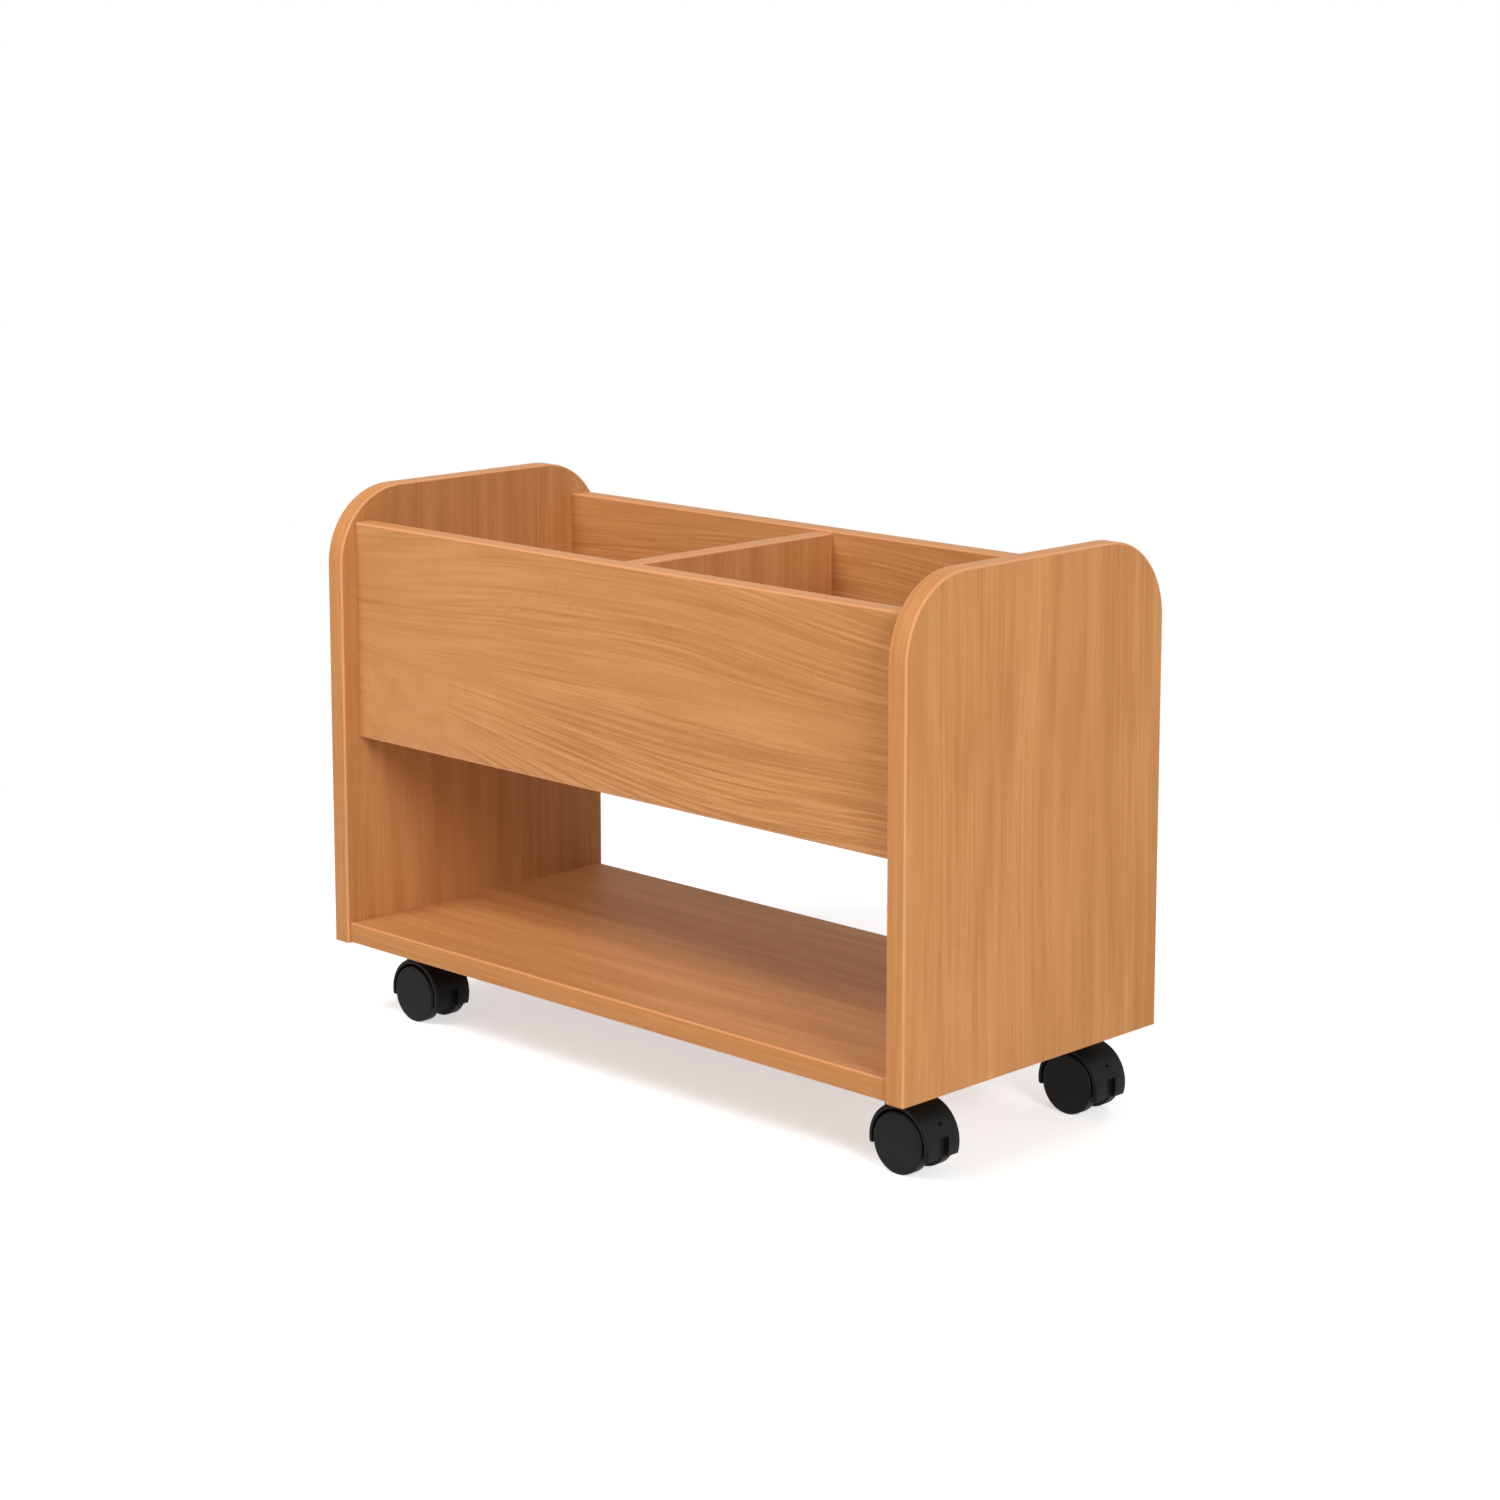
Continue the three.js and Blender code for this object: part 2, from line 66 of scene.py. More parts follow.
nodes = frame["nodes"]
collection = bpy.context.scene.collection

# %% [markdown]
# The photograph looks at the front right corner from a little above, through a long lens. A camera was fitted to
# the straight edges of the boards, and these are its numbers. The lens is shifted down a little, as a studio camera
# is, so that the uprights stay nearly upright. Turning the camera down instead would make them lean.

# %% Camera
turn, rise, distance = radians(44.473), radians(9.37), 2.80698
aim = Vector((0.0266, 0, 0.42003))
away = Vector((sin(turn) * cos(rise), -cos(turn) * cos(rise), sin(rise)))
lens = bpy.data.cameras.new("studio_camera")
lens.sensor_width = 36
lens.lens = 82.08
lens.shift_y = -0.12
camera = bpy.data.objects.new("studio_camera", lens)
camera.location = aim + distance * away
camera.rotation_euler = away.to_track_quat("Z", "Y").to_euler()
collection.objects.link(camera)
bpy.context.scene.camera = camera
bpy.context.scene.view_settings.view_transform = "Standard"
print("camera at", [round(c, 3) for c in camera.location])

# %% [markdown]
# A finish is easier to read as a sum than as a picture of wires. Field wraps one socket, so that plus, minus and
# times add Math nodes. It could be done with plain calls to nodes.new, but the finishes below would then be three
# times as long.

# %% A field
def socket_named(sockets, key):
    found = [s for s in sockets if s.identifier == key]
    return found[0] if found else sockets[key]


def feed(socket, value):
    if isinstance(value, Field):
        socket.id_data.links.new(value.socket, socket)
    else:
        socket.default_value = value


class Field:
    """A value that varies over a surface."""

    def __init__(self, socket):
        self.socket = socket

    def math(self, operation, *others):
        node = self.socket.id_data.nodes.new("ShaderNodeMath")
        node.operation = operation
        for socket, value in zip(node.inputs, (self, *others)):
            feed(socket, value)
        return Field(node.outputs[0])

    def __add__(self, other):
        return self.math("ADD", other)

    def __mul__(self, other):
        return self.math("MULTIPLY", other)

    def __sub__(self, other):
        return self.math("SUBTRACT", other)

    def __rsub__(self, other):
        return self * -1 + other

    __radd__ = __add__
    __rmul__ = __mul__

    def within(self, low, high):
        """0 below low, 1 above high, and smooth between."""
        node = self.socket.id_data.nodes.new("ShaderNodeMapRange")
        node.interpolation_type = "SMOOTHSTEP"
        for key, value in (("Value", self), ("From Min", low), ("From Max", high)):
            feed(node.inputs[key], value)
        return Field(node.outputs["Result"])

    def between(self, low, high):
        """Goes from low to high as the field goes from 0 to 1."""
        return self * (high - low) + low


print("a field can be added to, taken from and multiplied")

# %% [markdown]
# Finish holds one material on one Principled shader. What stays the same is set on the shader's own sockets, and what
# varies is fed to them as fields. A noise is told how many waves it has to the metre.

# %% A finish
class Finish:
    """A material whose nodes all come from one method."""

    def __init__(self, name, **constants):
        self.material = bpy.data.materials.new(name)
        self.material.use_nodes = True
        self.tree = self.material.node_tree
        self.shader = self.tree.nodes["Principled BSDF"]
        for key, value in constants.items():
            label = key.replace("_", " ").title().replace("Ior", "IOR")
            self.shader.inputs[label].default_value = value

    def node(self, kind, settings=(), sockets=(), out=0):
        node = self.tree.nodes.new("ShaderNode" + kind)
        for key, value in dict(settings).items():
            setattr(node, key, value)
        for key, value in dict(sockets).items():
            feed(socket_named(node.inputs, key), value)
        return Field(socket_named(node.outputs, out))

    def axes(self, output="Object"):
        spot = self.node("TexCoord", out=output)
        return [self.node("SeparateXYZ", sockets={"Vector": spot}, out=axis) for axis in "XYZ"]

    def noise(self, x, y, z, detail, roughness=0.5):
        spot = self.node("CombineXYZ", sockets={"X": x, "Y": y, "Z": z})
        sockets = {"Vector": spot, "Scale": 1.0, "Detail": detail, "Roughness": roughness}
        return self.node("TexNoise", sockets=sockets, out="Fac")

    def even_noise(self, place, waves, detail, roughness=0.5):
        x, y, z = (c * waves for c in place)
        return self.noise(x, y, z, detail, roughness)

    def blend(self, share, first, second):
        sockets = {"Factor_Float": share, "A_Color": first, "B_Color": second}
        return self.node("Mix", {"data_type": "RGBA"}, sockets, "Result_Color")

    def bump(self, height, depth, strength):
        return self.node("Bump", sockets={"Height": height, "Distance": depth, "Strength": strength})

    def wear(self, **fields):
        for key, value in fields.items():
            feed(self.shader.inputs[key.replace("_", " ").title()], value)
        return self.material


def srgb(red, green, blue):
    """A colour as a picture stores it, turned into the light that a shader works in."""
    values = [c / 255 for c in (red, green, blue)]
    return (*[c / 12.92 if c <= 0.04045 else ((c + 0.055) / 1.055) ** 2.4 for c in values], 1.0)


print("a finish is ready; mid beech is", [round(c, 3) for c in srgb(202, 141, 87)])

# %% [markdown]
# On the bin walls the lines of the print bend round a pale band. Above it they arch, and dip towards the right. Below
# it they fan out gently from the left, and the lower left corner is calm and mottled. The print is also made a little
# paler towards the left of each wall: that is painted light, for the stronger light that falls on the left.
# A photograph of wood could be wrapped round each board. Here the noise reads a bent coordinate instead, which stays
# the same along one growth line, so the print has no seams and no end. These two functions make that coordinate and
# the zones of the wall.

# %% Figure of the bin walls
ARCH_FADE = (-0.01, 0.05)  # metres above the pale band
DIP_RUN = (0.0, 0.50)  # metres along the wall, like the other runs
FAN_RUN, FAN_TIGHT = (-0.45, 0.20), 0.25  # the fan starts beyond the left end, four times closer together
PALE_HALF, PALE_LOSS, PALE_LIFT = (0.004, 0.03), 0.8, 0.1
CALM_DROP, CALM_RUN, CALM_RAG = (0.008, 0.03), (-0.22, -0.10), 0.2
CALM_LOSS, CALM_LIFT = 0.85, 0.08
FIRM_RUN, FIRM_DROP, FIRM_GAIN = (-0.30, -0.05), (0.01, 0.03), 0.6
# the last number is painted light: how much paler the print of a wall is made per metre towards the left
WALL_LINES, WALL_BANDS, WALL_TONE, LEFT_PAINTED_LIGHT = 1.45, 0.9, 0.47, 0.4


def wall_growth(a, l, bend):
    """The bent coordinate of a wall, and how far a point lies below the pale band."""
    band, arch, dip = bend
    above, below = (a - band).within(*ARCH_FADE), (band - a).math("MAXIMUM", 0.0)
    arched = above * (l * l * arch + l.within(*DIP_RUN) * dip)
    spread = l.within(*FAN_RUN).between(FAN_TIGHT, 1)
    return a.math("MAXIMUM", band) + arched - below.math("DIVIDE", spread), below


def wall_zones(l, from_band, below, wide, mottle):
    """How strong the lines and bands of a wall are, and how light its ground is, with painted light at the left."""
    pale = 1 - from_band.math("ABSOLUTE").within(*PALE_HALF)
    calm = below.within(*CALM_DROP) * (1 - (l + wide * CALM_RAG).within(*CALM_RUN))
    firm = (l.within(*FIRM_RUN) + below.within(*FIRM_DROP)) * FIRM_GAIN
    quiet = 1 - calm * CALM_LOSS
    lines = (WALL_LINES + firm - pale * PALE_LOSS) * quiet
    # painted light: the ground of the print is made lighter towards the left, for the stronger light that falls there
    tone = pale * PALE_LIFT + calm * (mottle + CALM_LIFT) - l * LEFT_PAINTED_LIGHT + WALL_TONE
    return lines, quiet * WALL_BANDS, tone


print("where the fan starts, the lines of a wall lie", 1 / FAN_TIGHT, "times closer together")

# %% [markdown]
# The boards are chipboard under a printed beech film. The print is a sum of noises, all longer along the grain than
# across it: wide soft bands, fine growth lines, thin dark rings, and the short dark flecks of beech. A slow noise
# makes some zones busy and others calm, and another lets the lines wander. Cut edges that carry no film show the
# chips of the board.

# %% Printed beech
BEECH_LIGHT, BEECH_DARK, BEECH_FLECK = srgb(213, 152, 96), srgb(188, 127, 72), srgb(158, 98, 54)
CHIP_LIGHT, CHIP_DARK = srgb(205, 170, 122), srgb(140, 100, 62)
# Each noise: waves to the metre across the grain and along it, a shift that sets it apart, detail and roughness
DRIFT, WIDE, LINE = (5, 2.6, 7.7, 1.0, 0.5), (60, 4.0, 3.1, 2.0, 0.5), (320, 9.0, 0.0, 2.0, 0.55)
RING, FLECK = (190, 3.0, 12.9, 0.0, 0.5), (1500, 190, 5.9, 0.0, 0.5)
BUSY, MOTTLE = (26, 1.6, 9.4, 1.0, 0.5), (60, 32, 0.0, 2.0, 0.5)
DRIFT_REACH, RING_WIDTH, RING_LEVEL, RING_SHARE = 0.022, 0.08, 0.75, 0.2
FLECK_RARITY, FLECK_SHARE, BUSY_LEAST = (0.64, 0.72), 0.2, 0.45
PLAIN_LINES, PLAIN_BANDS, PLAIN_TONE = 0.75, 1.2, 0.48
CHIP_ROUGH, FILM_SMOOTHER, LINE_SMOOTHER, FLECK_SINK, LINE_RISE = 0.75, 0.18, 0.08, 0.05, 0.1
FACE_SHIFT = 60  # sets the print on one side of a board apart from the other
X, Y, Z = range(3)


def beech_board(name, across, along, through, seed, bend=None):
    """The axes are X, Y or Z. A bend is the height of the pale band, and the arch and dip of the lines."""
    finish = Finish(name, specular_ior_level=0.2)
    place = finish.axes()
    a, l = place[across], place[along]
    face = place[through] * FACE_SHIFT + seed

    def grain(spot, kind):
        waves_across, waves_along, shift, detail, roughness = kind
        return finish.noise(spot * waves_across, face + shift, l * waves_along, detail, roughness)

    growth, below = wall_growth(a, l, bend) if bend else (a, None)
    growth = growth + (grain(a, DRIFT) - 0.5) * DRIFT_REACH
    wide, line, ring = (grain(growth, kind) - 0.5 for kind in (WIDE, LINE, RING))
    ring = ring.math("ABSOLUTE").within(0.0, RING_WIDTH) - RING_LEVEL
    fleck = grain(a, FLECK).within(*FLECK_RARITY)
    busy = grain(growth, BUSY).within(0.3, 0.7) + BUSY_LEAST
    lines, bands, tone = PLAIN_LINES, PLAIN_BANDS, PLAIN_TONE
    if bend:
        lines, bands, tone = wall_zones(l, growth - bend[0], below, wide, grain(a, MOTTLE) - 0.5)
    tone = (line + ring * RING_SHARE) * busy * lines + wide * bands + tone
    film = finish.blend(tone.within(0.0, 1.0), BEECH_DARK, BEECH_LIGHT)
    film = finish.blend(fleck * FLECK_SHARE, film, BEECH_FLECK)

    chip = finish.even_noise(place, waves=420, detail=2, roughness=0.7)
    chips = finish.blend(chip.within(0.35, 0.65), CHIP_DARK, CHIP_LIGHT)
    facing = finish.axes("Normal")[through].math("ABSOLUTE").within(0.4, 0.6)

    rough = CHIP_ROUGH - facing * (FILM_SMOOTHER + line * LINE_SMOOTHER)
    height = (1 - facing) * chip - fleck * FLECK_SINK + line * LINE_RISE
    relief = finish.bump(height, depth=0.0004, strength=0.35)
    return finish.wear(base_color=finish.blend(facing, chips, film), roughness=rough, normal=relief)


BOARD_FINISHES = {
    "front_wall": beech_board("beech_front_wall", Z, X, Y, seed=1.0, bend=(0.338, 0.15, 0.012)),
    "back_wall": beech_board("beech_back_wall", Z, X, Y, seed=4.0, bend=(0.330, 0.10, 0.024)),
    "left_end_panel": beech_board("beech_left_end", Y, Z, X, seed=60.0),
    "right_end_panel": beech_board("beech_right_end", Y, Z, X, seed=11.0),
    "centre_divider": beech_board("beech_divider", Y, Z, X, seed=15.0),
    "bin_base": beech_board("beech_bin_base", Y, X, Z, seed=23.0),
    "bottom_shelf": beech_board("beech_shelf", Y, X, Z, seed=31.0),
}
for name, material in BOARD_FINISHES.items():
    nodes[name].material_slots[0].material = material
print("beech on", len(BOARD_FINISHES), "boards")

# %% [markdown]
# The edging is a plastic strip two millimetres thick. Its face is printed to match the beech, and its streaks follow
# the strip, round the corners too, so the finish reads how far along the strip a point is. A cutter rounds off both
# corners of the strip, and there the paler plastic shows under the print. The paler colour there is partly that
# plastic and partly a painted highlight of the light that the rounded corners catch. Together they make the thin
# bright line round every board. The strip's own recipe marks the trimmed corners, so the line keeps its width
# everywhere.

# %% Edging finish
# the third colour is for the rounded corners: partly the trimmed plastic, partly a painted highlight
EDGING_LIGHT, EDGING_DARK, EDGING_TRIM_AND_HIGHLIGHT = srgb(211, 147, 90), srgb(197, 133, 78), srgb(226, 159, 110)
STREAKS_ACROSS, STREAKS_ALONG, TRIM_SMOOTHER = 420, 9, 0.08


def edging_finish():
    finish = Finish("beech_edging", specular_ior_level=0.08)
    along, across, trim = (finish.node("Attribute", {"attribute_name": name}, out="Fac")
                           for name in ("along", "across", "trim"))
    x, y, z = place = finish.axes()
    strip = x * 3 + y * 5 + z * 3  # sets the streaks of one strip apart from those of another
    streak = finish.noise(across * STREAKS_ACROSS, along * STREAKS_ALONG, strip, detail=2, roughness=0.6)
    tooth = finish.even_noise(place, waves=900, detail=1)
    colour = finish.blend(streak.within(0.2, 0.8), EDGING_DARK, EDGING_LIGHT)
    # the rounded corners take the paler colour: the trimmed plastic, and in part a painted highlight of the round
    colour = finish.blend(trim * streak.between(0.75, 1.15), colour, EDGING_TRIM_AND_HIGHLIGHT)
    rough = streak.between(0.42, 0.50) - trim * TRIM_SMOOTHER
    relief = finish.bump(tooth, depth=0.00004, strength=0.2)
    return finish.wear(base_color=colour, roughness=rough, normal=relief)


edging_material = edging_finish()
print("made", edging_material.name)

# %% [markdown]
# The castors are moulded from black nylon with a fine satin texture, and their pins are zinc-plated steel. The dowels
# are plain beech. Each finish needs only a colour that wanders a little, a roughness, and a very small relief.

# %% Nylon, steel and dowel finishes
def nylon_finish():
    finish = Finish("black_nylon", specular_ior_level=0.14)
    place = finish.axes()
    satin = finish.even_noise(place, waves=2600, detail=2)
    scuff = finish.even_noise(place, waves=130, detail=3, roughness=0.6)
    colour = finish.blend(scuff.within(0.3, 0.8), srgb(17, 17, 17), srgb(25, 25, 24))
    relief = finish.bump(satin, depth=0.00012, strength=0.5)
    return finish.wear(base_color=colour, roughness=scuff.between(0.42, 0.60), normal=relief)


TURNED_ACROSS, TURNED_UP = 60, 5200


def steel_finish():
    finish = Finish("zinc_steel", metallic=1.0)
    x, y, z = place = finish.axes()
    turning = finish.noise(x * TURNED_ACROSS, y * TURNED_ACROSS, z * TURNED_UP, detail=1)
    bloom = finish.even_noise(place, waves=260, detail=2)
    colour = finish.blend(bloom.within(0.3, 0.7), srgb(168, 171, 176), srgb(196, 198, 200))
    relief = finish.bump(turning, depth=0.00005, strength=0.4)
    return finish.wear(base_color=colour, roughness=turning.between(0.24, 0.40), normal=relief)


FIBRES, FIBRES_SKEW, FIBRES_ALONG = 900, 700, 90


def dowel_finish():
    finish = Finish("dowel_beech", specular_ior_level=0.3)
    x, y, z = finish.axes()
    along = finish.node("Attribute", {"attribute_name": "along"}, out="Fac")
    skewed = x * FIBRES + y * FIBRES_SKEW
    grain = finish.noise(skewed, z * FIBRES, along * FIBRES_ALONG, detail=2, roughness=0.6)
    colour = finish.blend(grain.within(0.3, 0.7), srgb(196, 158, 108), srgb(222, 190, 145))
    relief = finish.bump(grain, depth=0.0002, strength=0.4)
    return finish.wear(base_color=colour, roughness=grain.between(0.60, 0.75), normal=relief)


nylon, steel, dowel_beech = nylon_finish(), steel_finish(), dowel_finish()
print("made", nylon.name, steel.name, dowel_beech.name)

# %% [markdown]
# A Geometry Nodes tree is wired by the same short way. The recipe keeps the tree's inputs by name, so that one recipe
# can be used again with other sizes.

# %% A recipe
class Recipe:
    """A Geometry Nodes tree with named inputs."""

    def __init__(self, name, **inputs):
        self.tree = bpy.data.node_groups.new(name, "GeometryNodeTree")
        self.tree.interface.new_socket("Geometry", in_out="INPUT", socket_type="NodeSocketGeometry")
        self.ids = {}
        for key, (kind, value) in inputs.items():
            item = self.tree.interface.new_socket(key, in_out="INPUT", socket_type="NodeSocket" + kind)
            if value is not None:
                item.default_value = value
            self.ids[key] = item.identifier
        self.tree.interface.new_socket("Geometry", in_out="OUTPUT", socket_type="NodeSocketGeometry")
        self.given = self.tree.nodes.new("NodeGroupInput").outputs
        self.result = self.tree.nodes.new("NodeGroupOutput").inputs[0]

    def node(self, kind, settings=(), sockets=(), out=0):
        node = self.tree.nodes.new(kind)
        for key, value in dict(settings).items():
            setattr(node, key, value)
        for key, value in dict(sockets).items():
            socket = socket_named(node.inputs, key)
            if isinstance(value, bpy.types.NodeSocket):
                self.tree.links.new(value, socket)
            else:
                socket.default_value = value
        return socket_named(node.outputs, out)

    def math(self, operation, first, second):
        return self.node("ShaderNodeMath", {"operation": operation}, {"Value": first, "Value_001": second})

    def mark(self, geometry, name, value):
        settings = {"data_type": "FLOAT", "domain": "POINT"}
        sockets = {"Geometry": geometry, "Name": name, "Value": value}
        return self.node("GeometryNodeStoreNamedAttribute", settings, sockets)

    def close(self, geometry, material):
        whole = self.node("GeometryNodeRealizeInstances", sockets={"Geometry": geometry})
        dressed = self.node("GeometryNodeSetMaterial", sockets={"Geometry": whole, "Material": material})
        self.tree.links.new(dressed, self.result)


print("recipes are ready")

# %% [markdown]
# A modifier could stay on each piece. Here bake turns the evaluated result into a plain mesh instead. Edges sharper
# than a set angle stay crisp, and all others are shaded smooth.

# %% Bake a recipe
SHARP_ANGLE = radians(34)


def add_object(name, mesh):
    piece = bpy.data.objects.new(name, mesh)
    collection.objects.link(piece)
    return piece


def soft_shade(mesh):
    mesh.polygons.foreach_set("use_smooth", [True] * len(mesh.polygons))
    mesh.set_sharp_from_angle(angle=SHARP_ANGLE)
    mesh.update()
    return mesh


def evaluated_mesh(carrier):
    return bpy.data.meshes.new_from_object(carrier.evaluated_get(bpy.context.evaluated_depsgraph_get()))


def bake(name, start_mesh, recipe, **inputs):
    carrier = add_object(name + "_start", start_mesh)
    modifier = carrier.modifiers.new("recipe", "NODES")
    modifier.node_group = recipe.tree
    for key, value in inputs.items():
        modifier[recipe.ids[key]] = value
    mesh = evaluated_mesh(carrier)
    mesh.name = name
    bpy.data.objects.remove(carrier)
    return add_object(name, soft_shade(mesh))


print("edges sharper than", round(SHARP_ANGLE, 3), "radians stay crisp")

# %% [markdown]
# An edging strip is one profile drawn along the edge of a board. The profile is a flat rectangle whose two outer
# corners are rounded, and the path lies on the outside of the board. Each point of the path carries the direction
# that points out of the board, so the profile never twists. Nine strips come from this one recipe.

# %% Edging recipe
edging_recipe = Recipe(
    "edging_strip",
    Thickness=("Float", 0.0019),
    Board=("Float", 0.018),
    Arris=("Float", 0.0018),
    Steps=("Int", 6),
    Finish=("Material", None),
)
TRIM_DEPTH = 0.00025  # this far below the printed face, the trimmed plastic shows fully


def wire_edging(r):
    half = r.math("MULTIPLY", r.given["Thickness"], -0.5)
    flat = r.node("GeometryNodeCurvePrimitiveQuadrilateral",
                  sockets={"Width": r.given["Thickness"], "Height": r.given["Board"]})
    shift = r.node("ShaderNodeCombineXYZ", sockets={"X": half})
    flat = r.node("GeometryNodeTransform", sockets={"Geometry": flat, "Translation": shift})
    spot = r.node("GeometryNodeInputPosition")
    depth = r.node("ShaderNodeSeparateXYZ", sockets={"Vector": spot}, out="X")
    across = r.node("ShaderNodeSeparateXYZ", sockets={"Vector": spot}, out="Y")
    outer = r.math("GREATER_THAN", depth, half)
    radius = r.math("MULTIPLY", outer, r.given["Arris"])
    profile = r.node("GeometryNodeFilletCurve", {"mode": "POLY"},
                     {"Curve": flat, "Count": r.given["Steps"], "Radius": radius, "Limit Radius": True})
    trim = r.math("MINIMUM", r.math("MULTIPLY", depth, -1 / TRIM_DEPTH), 1.0)
    profile = r.mark(profile, "trim", trim)
    profile = r.mark(profile, "across", across)
    path = r.node("GeometryNodeMeshToCurve", sockets={"Mesh": r.given["Geometry"]})
    outward = r.node("GeometryNodeInputNamedAttribute", {"data_type": "FLOAT_VECTOR"}, {"Name": "outward"})
    path = r.node("GeometryNodeSetCurveNormal", {"mode": "FREE"}, {"Curve": path, "Normal": outward})
    length = r.node("GeometryNodeSplineParameter", out="Length")
    path = r.mark(path, "along", length)
    strip = r.node("GeometryNodeCurveToMesh",
                   sockets={"Curve": path, "Profile Curve": profile, "Fill Caps": True})
    r.close(strip, r.given["Finish"])


wire_edging(edging_recipe)
print("edging recipe has", len(edging_recipe.tree.nodes), "nodes")

# %% [markdown]
# Each strip needs its path. Straight ones run along the middle of the outer side of the strip's solid. The strip of an
# end panel is bent from one length: up the front edge, over both round corners and down the back edge.

# %% Lay the edging
UP, DOWN, FRONT, BACK, RIGHT = (0, 0, 1), (0, 0, -1), (0, -1, 0), (0, 1, 0), (1, 0, 0)
END_CORNER, CORNER_STEPS = 0.066, 24


def path_mesh(name, points, outward):
    mesh = bpy.data.meshes.new(name)
    mesh.from_pydata(points, [(i, i + 1) for i in range(len(points) - 1)], [])
    directions = mesh.attributes.new("outward", "FLOAT_VECTOR", "POINT")
    directions.data.foreach_set("vector", [c for v in outward for c in v])
    return mesh


def end_path(x):
    low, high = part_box("left_end_edging")
    side, top = high.y, high.z
    points, outward = [(x, -side, low.z)], [FRONT]
    for sign, first in ((-1, pi), (1, pi / 2)):
        for step in range(CORNER_STEPS + 1):
            angle = first - pi / 2 * step / CORNER_STEPS
            y = sign * (side - END_CORNER) + END_CORNER * cos(angle)
            points.append((x, y, top - END_CORNER + END_CORNER * sin(angle)))
            outward.append((0, cos(angle), sin(angle)))
    return points + [(x, side, low.z)], outward + [BACK]


def long_axis(low, high):
    return X if high.x - low.x > high.y - low.y else Y


def straight_path(node, direction):
    low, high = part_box(node)
    run = long_axis(low, high)
    middle = (low + high) / 2
    outer = [high[i] if direction[i] > 0 else low[i] if direction[i] < 0 else middle[i] for i in range(3)]
    start, end = list(outer), list(outer)
    start[run], end[run] = low[run], high[run]
    return [start, end], [direction, direction]


strips = {
    "front_wall_top_edging": UP, "front_wall_bottom_edging": DOWN,
    "back_wall_top_edging": UP, "back_wall_bottom_edging": DOWN,
    "divider_top_edging": UP, "shelf_front_edging": FRONT, "shelf_back_edging": BACK,
}
paths = {node: straight_path(node, direction) for node, direction in strips.items()}
for side in ("left", "right"):
    low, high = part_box(side + "_end_edging")
    paths[side + "_end_edging"] = end_path((low.x + high.x) / 2)
for node, (points, outward) in paths.items():
    strip = bake(node + "_smooth", path_mesh(node, points, outward), edging_recipe, Finish=edging_material)
    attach(strip, "carcass")
    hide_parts(node)
    print(strip.name, len(strip.data.polygons), "faces")

# %% [markdown]
# The dowels hide inside the joints. A real one is a short beech rod with flutes pressed along it, which let the glue
# rise, and with its ends chamfered. One fluted rod is drawn from a wavy circle, and an instance of it stands at
# every joint, turned along the hole. The solids say where each joint is.

# %% Dowel recipe
dowel_recipe = Recipe(
    "fluted_dowels",
    Length=("Float", 0.030),
    Radius=("Float", 0.004),
    Chamfer=("Float", 0.001),
    Flutes=("Int", 14),
    Finish=("Material", None),
)
ROUND_STEPS, LENGTH_STEPS = 56, 31
FLUTE_DEPTH = 0.04  # as a share of the radius


def wire_dowels(r):
    ring = r.node("GeometryNodeCurvePrimitiveCircle", sockets={"Resolution": ROUND_STEPS, "Radius": 1.0})
    spot = r.node("GeometryNodeInputPosition")
    east = r.node("ShaderNodeSeparateXYZ", sockets={"Vector": spot}, out="X")
    north = r.node("ShaderNodeSeparateXYZ", sockets={"Vector": spot}, out="Y")
    turns = r.math("MULTIPLY", r.math("ARCTAN2", north, east), r.given["Flutes"])
    wave = r.math("MULTIPLY", r.math("COSINE", turns, 0.0), FLUTE_DEPTH / 2)
    reach = r.math("ADD", wave, 1 - FLUTE_DEPTH / 2)
    sockets = {"Vector": spot, "Scale": reach}
    wavy = r.node("ShaderNodeVectorMath", {"operation": "SCALE"}, sockets, "Vector")
    ring = r.node("GeometryNodeSetPosition", sockets={"Geometry": ring, "Position": wavy})

    half = r.math("MULTIPLY", r.given["Length"], 0.5)
    tip = r.node("ShaderNodeCombineXYZ", sockets={"Z": half})
    tail = r.node("ShaderNodeCombineXYZ", sockets={"Z": r.math("MULTIPLY", half, -1.0)})
    rod = r.node("GeometryNodeCurvePrimitiveLine", sockets={"Start": tail, "End": tip})
    rod = r.node("GeometryNodeResampleCurve", {"mode": "COUNT"}, {"Curve": rod, "Count": LENGTH_STEPS})
    spot = r.node("GeometryNodeInputPosition")
    height = r.node("ShaderNodeSeparateXYZ", sockets={"Vector": spot}, out="Z")
    to_end = r.math("SUBTRACT", half, r.math("ABSOLUTE", height, 0.0))
    cut = r.math("MAXIMUM", r.math("SUBTRACT", r.given["Chamfer"], to_end), 0.0)
    width = r.math("SUBTRACT", r.given["Radius"], cut)
    rod = r.mark(rod, "along", height)
    dowel = r.node("GeometryNodeCurveToMesh",
                   sockets={"Curve": rod, "Profile Curve": ring, "Scale": width, "Fill Caps": True})

    into = r.node("GeometryNodeInputNamedAttribute", {"data_type": "FLOAT_VECTOR"}, {"Name": "outward"})
    turned_to = r.node("FunctionNodeAlignRotationToVector", {"axis": "Z"}, {"Vector": into})
    spots = r.node("GeometryNodeMeshToPoints", sockets={"Mesh": r.given["Geometry"]})
    stood = r.node("GeometryNodeInstanceOnPoints",
                   sockets={"Points": spots, "Instance": dowel, "Rotation": turned_to})
    r.close(stood, r.given["Finish"])


